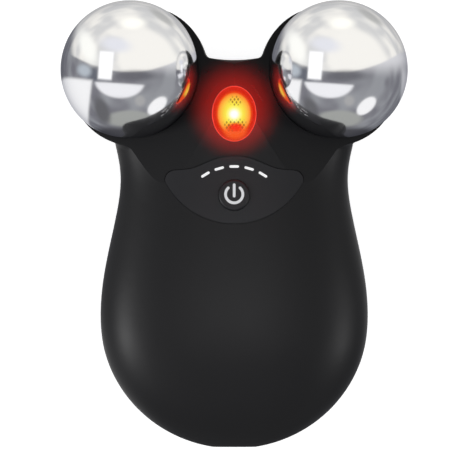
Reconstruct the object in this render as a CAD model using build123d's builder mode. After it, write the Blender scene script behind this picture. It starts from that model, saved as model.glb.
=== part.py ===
from build123d import *
from math import atan, cos, radians, sin, sqrt
import os

os.makedirs("parts", exist_ok=True)

# Facial toning device, in millimetres. It lies on its back: +Z leaves the front face,
# +Y runs from the round tail to the two electrode balls, +X is to the right seen from
# the front, and the origin is the middle of the flat rest face on the back.

# ---- the housing's form ----------------------------------------------------
parting_z = 16.0            # plane where the front and rear shells meet
wall = 2.0
belly_half_width = 28.35
belly_rise = 14.5           # front of the belly above the parting plane
belly_drop = 17.5           # back of the belly below it, before the rest face is cut
tail_length = 27.3          # from the belly's widest section to the tail's end
tail_y = -12.9              # widest section
plan_power = 2.0            # the tail's outline is a superellipse: 2 makes it an ellipse
tail_depth_power = 0.85     # how fast the tail thickens: the sine of the tail angle to this power
front_power = 2.6           # superellipse of the sections in front of the parting plane
back_power = 3.0            # and behind it
tail_angles = (9.5, 19, 31, 45, 61, 77, 90)
section_points = 28

# sections from the belly to past the saddle: distance from the widest section, half
# width, rise and drop from the parting plane
upper_sections = (
    (8.0, 27.87, 14.4, 17.5),
    (16.5, 26.27, 13.8, 17.5),
    (23.3, 24.83, 13.05, 17.4),
    (29.1, 24.12, 12.3, 17.2),
    (34.3, 24.57, 11.7, 16.9),
    (38.9, 25.45, 11.3, 16.5),
    (43.9, 24.7, 11.0, 15.4),
    (48.9, 22.0, 10.8, 14.0),
    (52.9, 19.0, 10.7, 13.0),
    (59.9, 16.0, 10.6, 12.0),
)
saddle_y = 42.1             # end of the housing between the cups
saddle_radius = 30.0        # the end is hollowed to this radius, seen from the front
saddle_round = 3.0          # rounding of the end's edges
crease_radius = 1.5         # blend between the cups and the housing

# ---- electrode balls and their cups ---------------------------------------------
ball_diameter = 29.26
ball_spacing = 44.14
ball_y = 40.1
ball_z = 25.0
ball_skin = 0.7
stud_tilt = 34.0            # of the stud's axis, degrees from +Z
stud_turn = 39.0            # and outward from +Y
cup_radius = 15.1           # outside of the cup
cup_shift = 2.1             # cup's centre from the ball's, level and towards the housing
cup_sink = 4.2              # and straight down
lip_tilt = 20.0             # of the lip's axis, degrees from +Z
lip_turn = 54.0             # of the lip's axis and of the shift, outward from +Y
lip_drop = 5.1              # lip below the ball's centre: nowhere above the ball's equator
ball_gap = 0.1              # between ball and cup
ball_flat_radius = 3.1      # flat on the ball's foot, for its gasket
stud_diameter = 3.0
stud_fit = 0.1              # radial clearance round the stud in the cup
stud_reach = 4.2            # of the stud into the ball
ball_boss_diameter = 7.0
gasket_outer = 7.6
gasket_thickness = 1.1
cup_floor = 1.9             # plastic between gasket and solder lug
lug_thickness = 0.4
lug_outer = 6.0
lug_width = 2.2
lug_reach = 8.4             # from the stud's axis to the end of the lug's tail
nut_across_flats = 5.5
nut_thickness = 2.4
stud_tail = 0.6             # of the stud past the nut
nut_room = 4.5              # radius of the pocket round the nut
lug_slot_side = 0.5         # between the lug's tail and its slot in the cup, each side
lug_slot_end = 4.0          # of the slot past the lug's tail, out of the cup

# ---- control panel, button and dashes -------------------------------------------
panel_thickness = 0.9
panel_glue = 0.05
panel_gap = 0.12            # all round the inlay
panel_half_width = 14.5
panel_bottom_y = 7.5
panel_top_y = 21.75
panel_corner_fall = 5.5     # of the widest corners below the top edge's middle
panel_shoulder_fall = 3.0   # of the shoulders
panel_corner_way = (0.4, 0.9)   # the outline's direction as it leaves a corner
panel_end_pull = 1.0        # weight of the outline's end directions: more of it makes loops
panel_shoulder = (          # points of the shoulder: in from the corner, and up
    (0.7, -0.45), (2.6, 0.05), (5.6, 0.4), (8.2, 1.4), (10.9, 2.45),
)
button_y = 13.5
button_diameter = 6.5
button_gap = 0.12
button_proud = 0.4
button_edge = 0.4
button_travel = 0.4
flange_diameter = 8.0
flange_thickness = 0.8
flange_gap = 0.15           # round the flange and under the panel
button_stem = 3.0
button_guide_fit = 0.1
button_guide_wall = 1.2
panel_surface_z = 28.55     # front surface at the button's axis
panel_slope = 0.1           # how the front falls towards the balls, per millimetre
panel_bow = 76.0            # radius of the inlay's curved underside
icon_radius = 1.82
icon_stroke = 0.58
icon_gap_angle = 43.0       # half of the gap in the ring
icon_bar_top = 2.29
icon_bar_bottom = -0.68
icon_y = 13.7
icon_depth = 0.3
dash_arc_radius = 11.66
dash_arc_y = 7.9
dash_length = 2.0
dash_width = 0.5
dash_pitch = 15.7           # degrees along the arc
dash_count = 5
dash_fit = 0.04

# ---- light window ----------------------------------------------------------------
window_y = 30.7
window_half_width = 4.7
window_half_length = 5.88
window_fit = 0.05
window_surface_z = 27.0
lens_flange = 0.9
lens_flange_thickness = 0.8
window_pad = 0.8            # thickening of the shell round the window, past the flange
window_ledge = 0.3          # the lens's seat lies this much behind the shell's inside
reflector_wall = 0.7

# ---- board and what stands on it -------------------------------------------------
board_thickness = 1.2
board_half_width = 10.6
board_tail_half_width = 5.4
board_tail_y = -35.8
board_wide_y = -30.0
board_shoulder_y = 22.0
board_tongue_half_width = 5.4
board_end_y = 37.3
switch_size = 6.0
switch_corner = 0.4
switch_base_height = 3.0
switch_cover_thickness = 0.5
switch_plunger = 3.2
switch_height = 5.0
switch_room = 5.2           # diameter of the space for the dome
switch_floor = 0.6
plunger_fit = 0.15          # round the plunger in the cover
dome_fit = 0.1              # round the dome in the base
foot_air = 0.05             # between the dome and the plunger's foot
dome_thickness = 0.15
dome_height = 1.0
plunger_foot = 4.4
plunger_foot_height = 0.5
small_led = (1.6, 0.8, 0.6)
window_led = (2.4, 2.2, 0.9)
window_led_pitch = 2.9
light_bridge_thickness = 1.0
light_bridge_width = 1.5
light_bridge_air = 0.4      # between the bridge and the button's guide
led_air = 0.2               # between an indicator lamp and its bar

usb_width = 8.94
usb_height = 3.2
usb_depth = 7.35
usb_skin = 0.3
usb_gap = 0.13
usb_recess = 0.55           # of the receptacle's mouth below the tail's end
usb_tongue_width = 6.7
usb_tongue_thickness = 0.7
usb_tongue_length = 5.0
usb_lip = 1.0               # of the tongue's tip behind the mouth

battery_width = 26.0
battery_length = 31.0
battery_thickness = 7.5
battery_y = -2.5
pad_thickness = 1.2
pad_share = 0.8             # of the battery's length and width
connector_size = (6.0, 4.5, 4.4)
connector_x = 5.5
connector_gap = 2.4         # from the battery's end to the connector
lead_diameter = 0.9
lead_pitch = 2.0
lead_bend_share = 0.45      # a bend's radius, as a share of the run before it
electrode_lead_x = 9.4      # where an electrode's lead meets the board
electrode_lead_y = 20.5
electrode_lead_straight = 1.4   # of the lead in line with the lug, before it turns
electrode_lead_bend = 0.9
controller_size = (5.0, 5.0, 0.9)
controller_place = (-4.0, -8.0)
charger_size = (3.0, 3.0, 0.8)
charger_place = (4.5, -22.0)
inductor_size = 6.0
inductor_height = 3.0
inductor_place = (4.5, -10.0)
capacitor_size = (2.0, 1.25, 1.25)
capacitor_x = -5.0
capacitor_ys = (-22.0, -19.0, -1.0, 2.0)

# ---- fasteners ---------------------------------------------------------------------
case_screw_x = 13.5
case_screw_ys = (-22.0, 20.0)
case_screw_diameter = 2.2
case_screw_head = 4.2
case_screw_head_height = 1.6
case_screw_bite = 8.0       # of thread in the front shell
case_post = 6.6
case_boss = 5.0
case_screw_fit = 0.1        # round the shank in the rear post
post_top_z = 11.0
post_floor = 3.0            # under the screw's head
head_fit = 0.2
plug_thickness = 1.6
board_screw_x = 8.4
board_screw_ys = (-24.0, 3.0)
board_screw_diameter = 1.8
board_screw_head = 3.4
board_screw_head_height = 1.2
board_screw_bite = 4.0
board_boss = 4.2
board_screw_fit = 0.1       # round the shank in the board
screw_relief = 0.2          # of the pilot hole past the screw's tip
drive_width = 0.7           # of the cross recess in a screw's head
drive_share = 0.6           # its reach and depth, as a share of the head's

joint_lip = 1.2             # tongue of the rear shell inside the front one
joint_lip_gap = 0.1
cup_notch_gap = 0.15        # rear shell round the cups

# ---- heights and places that follow ------------------------------------------------
ball_radius = ball_diameter / 2
cavity_radius = ball_radius + ball_gap
ball_foot = sqrt(ball_radius**2 - ball_flat_radius**2)
gasket_seat = ball_foot + gasket_thickness
lug_seat = gasket_seat + cup_floor
nut_seat = lug_seat + lug_thickness
stud_end = nut_seat + nut_thickness + stud_tail
board_bottom_z = parting_z + usb_height / 2
board_top_z = board_bottom_z + board_thickness
tail_end_y = tail_y - tail_length * cos(radians(tail_angles[0])) ** (2 / plan_power)
usb_mouth_y = tail_end_y + usb_recess
window_seat_z = window_surface_z - wall - window_ledge
lens_bottom_z = window_seat_z - lens_flange_thickness
flange_top_z = panel_surface_z - panel_thickness - panel_slope * flange_diameter / 2 - flange_gap
flange_bottom_z = flange_top_z - flange_thickness
guide_top_z = flange_bottom_z - button_travel - flange_gap
guide_bottom_z = guide_top_z - button_guide_wall
switch_top_z = board_top_z + switch_height
switch_cover_z = board_top_z + switch_base_height
light_guide_bottom_z = board_top_z + small_led[2] + led_air
light_bridge_z = guide_bottom_z - light_bridge_thickness - light_bridge_air
icon_bottom_z = (
    panel_surface_z + button_proud - icon_depth - panel_slope * button_diameter / 2
)
case_head_z = post_top_z - post_floor
battery_bottom_z = wall + pad_thickness
battery_end_y = battery_y + battery_length / 2
sky = 60.0                  # past every surface, for cuts that run right through
overcut = 1.0               # how far outside a wall its cut starts
case_screw_places = [(x, y) for x in (-case_screw_x, case_screw_x) for y in case_screw_ys]
board_screw_places = [(x, y) for x in (-board_screw_x, board_screw_x) for y in board_screw_ys]
sides = ((-1, "left"), (1, "right"))


# ---- forms used by several pieces ---------------------------------------------------
def housing_sections(inset):
    """The housing's sections, drawn in by inset: place along Y, half width, rise, drop."""
    sections = []
    for angle in tail_angles:
        along = max(cos(radians(angle)), 0.0) ** (2 / plan_power)
        across = sin(radians(angle)) ** (2 / plan_power)
        depth = sin(radians(angle)) ** tail_depth_power
        y = tail_y - (tail_length - inset) * along
        half_width = (belly_half_width - inset) * across
        sections.append((y, half_width, (belly_rise - inset) * depth, (belly_drop - inset) * depth))
    for y, half_width, rise, drop in upper_sections:
        sections.append((tail_y + y, half_width - inset, rise - inset, drop - inset))
    return sections


def section_outline(half_width, rise, drop):
    """Points round one section: a superellipse in front of the parting plane, one behind."""
    points = []
    for step in range(section_points):
        angle = radians(360 * step / section_points - 90)
        front = step > section_points / 4 and step < section_points * 3 / 4
        power = front_power if front else back_power
        height = rise if front else drop
        across = 0.0 if step in (0, section_points // 2) else abs(cos(angle)) ** (2 / power)
        upright = abs(sin(angle)) ** (2 / power)
        x = half_width * across * (1 if cos(angle) > 0 else -1)
        z = parting_z + height * upright * (1 if sin(angle) > 0 else -1)
        points.append((x, z))
    return points


def housing_form(inset):
    """The housing as one solid, every surface drawn in by inset.

    A form grown by a negative inset, used round the button, keeps the edges of its end."""
    with BuildPart() as form:
        for y, half_width, rise, drop in housing_sections(inset):
            with BuildSketch(Plane.XZ.offset(-y)):
                with BuildLine():
                    Spline(*section_outline(half_width, rise, drop), periodic=True)
                make_face()
        loft()
        with BuildSketch(Plane.XY.offset(-sky)):
            with Locations((0, saddle_y + saddle_radius)):
                Circle(saddle_radius + inset)
        extrude(amount=2 * sky, mode=Mode.SUBTRACT)
        end_wall = form.faces().filter_by(GeomType.CYLINDER)
        if 0 <= inset < saddle_round:
            fillet(end_wall.edges(), saddle_round - inset)
        if inset > 0:
            split(bisect_by=Plane.XY.offset(inset), keep=Keep.TOP)
        else:
            split(bisect_by=Plane.XY, keep=Keep.TOP)
    return form.part


def ball_plane(side, axis_tilt, axis_turn):
    """Plane at a ball's centre with its normal along an axis that leans outward."""
    tilt, turn = radians(axis_tilt), radians(axis_turn)
    return Plane(
        origin=(side * ball_spacing / 2, ball_y, ball_z),
        x_dir=(cos(turn), -side * sin(turn), 0),
        z_dir=(side * sin(tilt) * sin(turn), sin(tilt) * cos(turn), cos(tilt)),
    )


def stud_plane(side):
    """Plane at a ball's centre with its normal along the stud's axis."""
    return ball_plane(side, stud_tilt, stud_turn)


def over_lip(side):
    """All that lies above the plane of a cup's lip."""
    with BuildPart(ball_plane(side, lip_tilt, lip_turn).offset(-lip_drop)) as above:
        Box(3 * sky, 3 * sky, sky, align=(Align.CENTER, Align.CENTER, Align.MIN))
    return above.part


def cup_ball(side, grow=0.0):
    """The outside of a cup as a whole sphere."""
    turn = radians(lip_turn)
    centre = (
        side * (ball_spacing / 2 - cup_shift * sin(turn)),
        ball_y - cup_shift * cos(turn),
        ball_z - cup_sink,
    )
    with BuildPart() as blank:
        with Locations(centre):
            Sphere(cup_radius + grow)
    return blank.part


def cup_hollow(side):
    """What is cut from a cup: the ball's seat, the gasket's recess, stud hole and nut pocket."""
    with BuildPart(stud_plane(side)) as hollow:
        Sphere(cavity_radius)
        with Locations((0, 0, -gasket_seat)):
            Cylinder(gasket_outer / 2, gasket_seat, align=(Align.CENTER, Align.CENTER, Align.MIN))
        Cylinder(
            stud_diameter / 2 + stud_fit, sky, align=(Align.CENTER, Align.CENTER, Align.MAX)
        )
        with Locations((0, 0, -lug_seat)):
            Cylinder(nut_room, sky, align=(Align.CENTER, Align.CENTER, Align.MAX))
            Box(
                lug_width + 2 * lug_slot_side, lug_reach + lug_slot_end, sky,
                align=(Align.CENTER, Align.MAX, Align.MAX),
            )
    return hollow.part


def panel_outline(grow, plane):
    """The control panel's face, larger by grow: a round shield with a raised top edge."""
    wide = panel_half_width + grow
    top = panel_top_y + grow
    with BuildSketch(plane) as outline:
        with BuildLine():
            corner = (wide, top - panel_corner_fall)
            ThreePointArc((-wide, top - panel_corner_fall), (0, panel_bottom_y - grow), corner)
            right = Spline(
                corner,
                *[(wide - inward, top - panel_shoulder_fall + up) for inward, up in panel_shoulder],
                (0, top),
                tangents=[panel_corner_way, (-1, 0)],
                tangent_scalars=[panel_end_pull, panel_end_pull],
            )
            mirror(right, about=Plane.YZ)
        make_face()
    return outline.sketch


def panel_bed(depth):
    """All that lies deeper than depth under the panel: a wide round bar, tilted with the front."""
    tilt = atan(panel_slope)
    fall = Vector(0, cos(tilt), -sin(tilt))
    top = Vector(0, button_y, panel_surface_z - depth)
    centre = top - Vector(0, sin(tilt), cos(tilt)) * panel_bow
    with BuildPart(Plane(origin=centre, x_dir=(1, 0, 0), z_dir=fall)) as bed:
        Cylinder(panel_bow, sky)
    return bed.part


def dash_places():
    """Where the five dashes stand: points on an arc, each turned along it."""
    places = []
    for step in range(dash_count):
        angle = (step - (dash_count - 1) / 2) * dash_pitch
        x = -dash_arc_radius * sin(radians(angle))
        y = dash_arc_y + dash_arc_radius * cos(radians(angle))
        places.append(Location((x, y, 0), (0, 0, angle)))
    return places


def oval(grow, plane):
    """The light window's oval, larger by grow, on a plane."""
    with BuildSketch(plane) as face:
        with Locations((0, window_y)):
            Ellipse(window_half_width + grow, window_half_length + grow)
    return face.sketch


outer_form = housing_form(0)
room_form = housing_form(wall)
rabbet_form = housing_form(wall / 2)
lip_form = housing_form(wall / 2 + joint_lip_gap)
cup_balls = [cup_ball(side) for side, word in sides]
cup_notches = [cup_ball(side, cup_notch_gap) for side, word in sides]
over_lips = [over_lip(side) for side, word in sides]

with BuildPart() as body:
    add([outer_form] + cup_balls)
    balls_of_cups = body.faces().filter_by(GeomType.SPHERE)
    creases = [
        edge
        for edge in balls_of_cups.edges()
        if edge.geom_type == GeomType.BSPLINE
    ]
    fillet(creases, crease_radius)
    add(over_lips, mode=Mode.SUBTRACT)

with BuildPart() as usb_cut:
    with BuildSketch(Plane.XZ.offset(sky)):
        with Locations((0, parting_z)):
            SlotOverall(usb_width + 2 * usb_gap, usb_height + 2 * usb_gap)
    extrude(amount=-(sky + usb_mouth_y + usb_depth + overcut))

with BuildPart() as dash_cut:
    with BuildSketch(Plane.XY.offset(parting_z)):
        with Locations(*dash_places()):
            SlotOverall(dash_length + 2 * dash_fit, dash_width + 2 * dash_fit)
    extrude(amount=sky)

with BuildPart() as window_cut:
    add(oval(0, Plane.XY.offset(window_seat_z - overcut)))
    extrude(amount=sky)

with BuildPart() as button_cut:
    with Locations((0, button_y, guide_bottom_z - overcut)):
        Cylinder(
            button_stem / 2 + button_guide_fit, sky,
            align=(Align.CENTER, Align.CENTER, Align.MIN),
        )
    with Locations((0, button_y, guide_top_z)):
        Cylinder(
            flange_diameter / 2 + flange_gap, sky, align=(Align.CENTER, Align.CENTER, Align.MIN)
        )

with BuildPart() as screw_pilots:
    with Locations(*[(x, y, post_top_z) for x, y in case_screw_places]):
        Cylinder(
            case_screw_diameter / 2, case_screw_bite + screw_relief,
            align=(Align.CENTER, Align.CENTER, Align.MIN),
        )
    with Locations(*[(x, y, board_top_z) for x, y in board_screw_places]):
        Cylinder(
            board_screw_diameter / 2, board_screw_bite + screw_relief,
            align=(Align.CENTER, Align.CENTER, Align.MIN),
        )

# ---- front shell: face, cups, and bosses for the screws, button and window ----------
with BuildPart() as front_room:
    add(room_form)
    add(cup_balls, mode=Mode.SUBTRACT)

with BuildPart() as rabbet:
    add(rabbet_form)
    with Locations((0, 0, parting_z)):
        Box(
            2 * sky, 3 * sky, joint_lip + joint_lip_gap,
            align=(Align.CENTER, Align.CENTER, Align.MIN), mode=Mode.INTERSECT,
        )
    add(cup_balls, mode=Mode.SUBTRACT)

with BuildPart() as front_bosses:
    with BuildSketch(Plane.XY.offset(post_top_z)):
        with Locations(*case_screw_places):
            Circle(case_boss / 2)
    extrude(amount=sky)
    with BuildSketch(Plane.XY.offset(board_top_z)):
        with Locations(*board_screw_places):
            Circle(board_boss / 2)
    extrude(amount=sky)
    with BuildSketch(Plane.XY.offset(guide_bottom_z)):
        with Locations((0, button_y)):
            Circle(flange_diameter / 2 + flange_gap + button_guide_wall)
    extrude(amount=sky)
    add(oval(lens_flange + window_pad, Plane.XY.offset(window_seat_z)))
    extrude(amount=sky)
    add(rabbet_form, mode=Mode.INTERSECT)
    add(cup_balls, mode=Mode.SUBTRACT)

with BuildPart() as panel_recess:
    add(panel_outline(panel_gap, Plane.XY.offset(parting_z)))
    extrude(amount=sky)
    add(panel_bed(panel_thickness + panel_glue), mode=Mode.SUBTRACT)

with BuildPart() as front_shell:
    add(body.part)
    split(bisect_by=Plane.XY.offset(parting_z), keep=Keep.TOP)
    add(cup_balls)
    add(over_lips, mode=Mode.SUBTRACT)
    add([front_room.part, rabbet.part], mode=Mode.SUBTRACT)
    add(front_bosses.part)
    for cut in (usb_cut, dash_cut, window_cut, button_cut, screw_pilots, panel_recess):
        add(cut.part, mode=Mode.SUBTRACT)
    for side, word in sides:
        add(cup_hollow(side), mode=Mode.SUBTRACT)
front_shell.part.label = "front_shell"
export_step(front_shell.part, "parts/front_shell.step")

# ---- rear shell: back, lip round the joint, and posts for the case screws ------------
with BuildPart() as rear_lip:
    add(lip_form)
    with Locations((0, 0, parting_z - joint_lip)):
        Box(
            2 * sky, 3 * sky, 2 * joint_lip,
            align=(Align.CENTER, Align.CENTER, Align.MIN), mode=Mode.INTERSECT,
        )
with BuildPart() as rear_posts:
    with BuildSketch(Plane.XY):
        with Locations(*case_screw_places):
            Circle(case_post / 2)
    extrude(amount=post_top_z)
    add(rabbet_form, mode=Mode.INTERSECT)
with BuildPart() as rear_holes:
    with Locations(*case_screw_places):
        Cylinder(
            case_screw_head / 2 + head_fit, case_head_z,
            align=(Align.CENTER, Align.CENTER, Align.MIN),
        )
        Cylinder(
            case_screw_diameter / 2 + case_screw_fit, post_top_z,
            align=(Align.CENTER, Align.CENTER, Align.MIN),
        )
with BuildPart() as rear_shell:
    add(body.part)
    split(bisect_by=Plane.XY.offset(parting_z), keep=Keep.BOTTOM)
    add(rear_lip.part)
    add([room_form] + cup_notches + [usb_cut.part], mode=Mode.SUBTRACT)
    add(rear_posts.part)
    add(rear_holes.part, mode=Mode.SUBTRACT)
rear_shell.part.label = "rear_shell"
export_step(rear_shell.part, "parts/rear_shell.step")

# ---- control panel, power button and its symbol -------------------------------------
with BuildPart() as control_panel:
    add(panel_outline(0, Plane.XY.offset(parting_z)))
    extrude(amount=sky)
    add(outer_form, mode=Mode.INTERSECT)
    add([panel_bed(panel_thickness), dash_cut.part], mode=Mode.SUBTRACT)
    with Locations((0, button_y, parting_z)):
        Cylinder(
            button_diameter / 2 + button_gap, sky,
            align=(Align.CENTER, Align.CENTER, Align.MIN), mode=Mode.SUBTRACT,
        )
control_panel.part.label = "control_panel"
export_step(control_panel.part, "parts/control_panel.step")

with BuildPart() as button_blank:
    with Locations((0, button_y, flange_bottom_z)):
        Cylinder(button_diameter / 2, sky, align=(Align.CENTER, Align.CENTER, Align.MIN))
    add(housing_form(-button_proud), mode=Mode.INTERSECT)
    fillet(button_blank.edges().group_by(Axis.Z)[-1], button_edge)
    with Locations((0, button_y, flange_bottom_z)):
        Cylinder(
            flange_diameter / 2, flange_thickness, align=(Align.CENTER, Align.CENTER, Align.MIN)
        )
    with Locations((0, button_y, switch_top_z)):
        Cylinder(
            button_stem / 2, flange_bottom_z - switch_top_z,
            align=(Align.CENTER, Align.CENTER, Align.MIN),
        )

with BuildPart() as power_symbol:
    with BuildSketch(Plane.XY.offset(icon_bottom_z)):
        SlotArc(
            CenterArc((0, icon_y), icon_radius, 90 + icon_gap_angle, 360 - 2 * icon_gap_angle),
            icon_stroke,
        )
        with Locations((0, icon_y + (icon_bar_top + icon_bar_bottom) / 2)):
            SlotOverall(icon_bar_top - icon_bar_bottom, icon_stroke, rotation=90)
    extrude(amount=sky)
    add(button_blank.part, mode=Mode.INTERSECT)
power_symbol.part.label = "power_symbol"
export_step(power_symbol.part, "parts/power_symbol.step")

with BuildPart() as power_button_cap:
    add(button_blank.part)
    add(power_symbol.part, mode=Mode.SUBTRACT)
power_button_cap.part.label = "power_button_cap"
export_step(power_button_cap.part, "parts/power_button_cap.step")

# ---- light guide: five bars on one bridge, flush with the panel -----------------------
with BuildPart() as indicator_light_guide:
    with BuildSketch(Plane.XY.offset(light_guide_bottom_z)):
        with Locations(*dash_places()):
            SlotOverall(dash_length, dash_width)
    extrude(amount=sky)
    add(outer_form, mode=Mode.INTERSECT)
    with BuildSketch(Plane.XY.offset(light_bridge_z)):
        half_spread = dash_pitch * (dash_count - 1) / 2
        SlotArc(
            CenterArc((0, dash_arc_y), dash_arc_radius, 90 - half_spread, 2 * half_spread),
            light_bridge_width,
        )
    extrude(amount=light_bridge_thickness)
indicator_light_guide.part.label = "indicator_light_guide"
export_step(indicator_light_guide.part, "parts/indicator_light_guide.step")

# ---- light window: clear lens, reflector, and the two lamps under it -------------------
with BuildPart() as window_lens:
    add(oval(-window_fit, Plane.XY.offset(lens_bottom_z)))
    extrude(amount=sky)
    add(outer_form, mode=Mode.INTERSECT)
    add(oval(lens_flange, Plane.XY.offset(lens_bottom_z)))
    extrude(amount=lens_flange_thickness)
window_lens.part.label = "window_lens"
export_step(window_lens.part, "parts/window_lens.step")

with BuildPart() as window_reflector:
    add(oval(reflector_wall, Plane.XY.offset(board_top_z)))
    extrude(amount=lens_bottom_z - board_top_z)
    with BuildSketch(Plane.XY.offset(board_top_z)):
        with Locations((0, window_y)):
            Ellipse(window_half_width / 2, window_led_pitch + window_led[1])
    with BuildSketch(Plane.XY.offset(lens_bottom_z)):
        with Locations((0, window_y)):
            Ellipse(window_half_width, window_half_length)
    loft(mode=Mode.SUBTRACT)
window_reflector.part.label = "window_reflector"
export_step(window_reflector.part, "parts/window_reflector.step")

with BuildPart() as window_lamps:
    with Locations((0, window_y, board_top_z), (0, window_y - window_led_pitch, board_top_z)):
        Box(*window_led, align=(Align.CENTER, Align.CENTER, Align.MIN))
window_lamps.part.label = "window_lamps"
export_step(window_lamps.part, "parts/window_lamps.step")

# ---- electrodes: each a ball, gasket, stud, solder lug, nut and lead -------------------
for side, word in sides:
    with BuildPart(stud_plane(side)) as electrode_ball:
        Sphere(ball_radius)
        Sphere(ball_radius - ball_skin, mode=Mode.SUBTRACT)
        with Locations((0, 0, -ball_foot)):
            Cylinder(
                ball_boss_diameter / 2, stud_reach + ball_skin,
                align=(Align.CENTER, Align.CENTER, Align.MIN),
            )
            Box(sky, sky, sky, align=(Align.CENTER, Align.CENTER, Align.MAX), mode=Mode.SUBTRACT)
            Cylinder(
                stud_diameter / 2, stud_reach, align=(Align.CENTER, Align.CENTER, Align.MIN),
                mode=Mode.SUBTRACT,
            )
    electrode_ball.part.label = f"electrode_ball_{word}"
    export_step(electrode_ball.part, f"parts/electrode_ball_{word}.step")

    with BuildPart(stud_plane(side)) as ball_gasket:
        with Locations((0, 0, -gasket_seat)):
            Cylinder(
                gasket_outer / 2 - stud_fit, gasket_thickness,
                align=(Align.CENTER, Align.CENTER, Align.MIN),
            )
            Cylinder(
                stud_diameter / 2 + stud_fit, gasket_thickness,
                align=(Align.CENTER, Align.CENTER, Align.MIN), mode=Mode.SUBTRACT,
            )
        Sphere(ball_radius, mode=Mode.SUBTRACT)
    ball_gasket.part.label = f"ball_gasket_{word}"
    export_step(ball_gasket.part, f"parts/ball_gasket_{word}.step")

    with BuildPart(stud_plane(side)) as electrode_stud:
        with Locations((0, 0, -stud_end)):
            Cylinder(
                stud_diameter / 2, stud_end - ball_foot + stud_reach,
                align=(Align.CENTER, Align.CENTER, Align.MIN),
            )
    electrode_stud.part.label = f"electrode_stud_{word}"
    export_step(electrode_stud.part, f"parts/electrode_stud_{word}.step")

    with BuildPart(stud_plane(side)) as solder_lug:
        with Locations((0, 0, -nut_seat)):
            Cylinder(lug_outer / 2, lug_thickness, align=(Align.CENTER, Align.CENTER, Align.MIN))
            Box(lug_width, lug_reach, lug_thickness, align=(Align.CENTER, Align.MAX, Align.MIN))
            Cylinder(
                stud_diameter / 2, lug_thickness,
                align=(Align.CENTER, Align.CENTER, Align.MIN), mode=Mode.SUBTRACT,
            )
    solder_lug.part.label = f"solder_lug_{word}"
    export_step(solder_lug.part, f"parts/solder_lug_{word}.step")

    with BuildPart() as electrode_nut:
        with BuildSketch(stud_plane(side).offset(-nut_seat - nut_thickness)):
            RegularPolygon(nut_across_flats / 2, 6, major_radius=False)
            Circle(stud_diameter / 2, mode=Mode.SUBTRACT)
        extrude(amount=nut_thickness)
    electrode_nut.part.label = f"electrode_nut_{word}"
    export_step(electrode_nut.part, f"parts/electrode_nut_{word}.step")

    # from the lug's tail along the inside, then up to the underside of the board
    lug_end = stud_plane(side).from_local_coords(
        Vector(0, -lug_reach, -lug_seat - lug_thickness / 2)
    )
    lug_way = stud_plane(side).y_dir * -1
    lead_start = lug_end + lug_way * electrode_lead_straight
    lead_turn = Vector(side * electrode_lead_x, electrode_lead_y, lead_start.Z)
    lead_end = Vector(side * electrode_lead_x, electrode_lead_y, board_bottom_z)
    with BuildPart() as electrode_lead:
        with BuildLine() as lead_route:
            FilletPolyline(
                lug_end, lead_start, lead_turn, lead_end, radius=electrode_lead_bend
            )
        with BuildSketch(Plane(origin=lug_end, z_dir=lug_way)):
            Circle(lead_diameter / 2)
        sweep(path=lead_route.wire())
    electrode_lead.part.label = f"electrode_lead_{word}"
    export_step(electrode_lead.part, f"parts/electrode_lead_{word}.step")

# ---- main board -------------------------------------------------------------------------
with BuildPart() as main_board:
    with BuildSketch(Plane.XY.offset(board_bottom_z)):
        with BuildLine():
            Polyline(
                (board_tail_half_width, board_tail_y),
                (board_half_width, board_wide_y),
                (board_half_width, board_shoulder_y),
                (board_tongue_half_width, board_shoulder_y),
                (board_tongue_half_width, board_end_y),
                (-board_tongue_half_width, board_end_y),
                (-board_tongue_half_width, board_shoulder_y),
                (-board_half_width, board_shoulder_y),
                (-board_half_width, board_wide_y),
                (-board_tail_half_width, board_tail_y),
                close=True,
            )
        make_face()
        with Locations(*board_screw_places):
            Circle(board_screw_diameter / 2 + board_screw_fit, mode=Mode.SUBTRACT)
    extrude(amount=board_thickness)
main_board.part.label = "main_board"
export_step(main_board.part, "parts/main_board.step")

# ---- press switch under the button --------------------------------------------------------
with BuildPart() as switch_base:
    with BuildSketch(Plane.XY.offset(board_top_z)):
        with Locations((0, button_y)):
            RectangleRounded(switch_size, switch_size, switch_corner)
    extrude(amount=switch_base_height)
    with Locations((0, button_y, board_top_z + switch_floor)):
        Cylinder(
            switch_room / 2, switch_base_height, align=(Align.CENTER, Align.CENTER, Align.MIN),
            mode=Mode.SUBTRACT,
        )
switch_base.part.label = "switch_base"
export_step(switch_base.part, "parts/switch_base.step")

with BuildPart() as switch_cover:
    with BuildSketch(Plane.XY.offset(switch_cover_z)):
        with Locations((0, button_y)):
            RectangleRounded(switch_size, switch_size, switch_corner)
            Circle(switch_plunger / 2 + plunger_fit, mode=Mode.SUBTRACT)
    extrude(amount=switch_cover_thickness)
switch_cover.part.label = "switch_cover"
export_step(switch_cover.part, "parts/switch_cover.step")

dome_base_z = board_top_z + switch_floor
foot_bottom_z = dome_base_z + dome_height + foot_air
with BuildPart() as switch_plunger_part:
    with Locations((0, button_y, foot_bottom_z)):
        Cylinder(
            plunger_foot / 2, plunger_foot_height, align=(Align.CENTER, Align.CENTER, Align.MIN)
        )
        Cylinder(
            switch_plunger / 2, switch_top_z - foot_bottom_z,
            align=(Align.CENTER, Align.CENTER, Align.MIN),
        )
switch_plunger_part.part.label = "switch_plunger"
export_step(switch_plunger_part.part, "parts/switch_plunger.step")

dome_half = switch_room / 2 - dome_fit
dome_radius = (dome_half**2 + dome_height**2) / (2 * dome_height)
with BuildPart() as switch_dome:
    with Locations((0, button_y, dome_base_z + dome_height - dome_radius)):
        Sphere(dome_radius)
        Sphere(dome_radius - dome_thickness, mode=Mode.SUBTRACT)
    with Locations((0, button_y, dome_base_z)):
        Box(sky, sky, sky, align=(Align.CENTER, Align.CENTER, Align.MAX), mode=Mode.SUBTRACT)
switch_dome.part.label = "switch_dome"
export_step(switch_dome.part, "parts/switch_dome.step")

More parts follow.
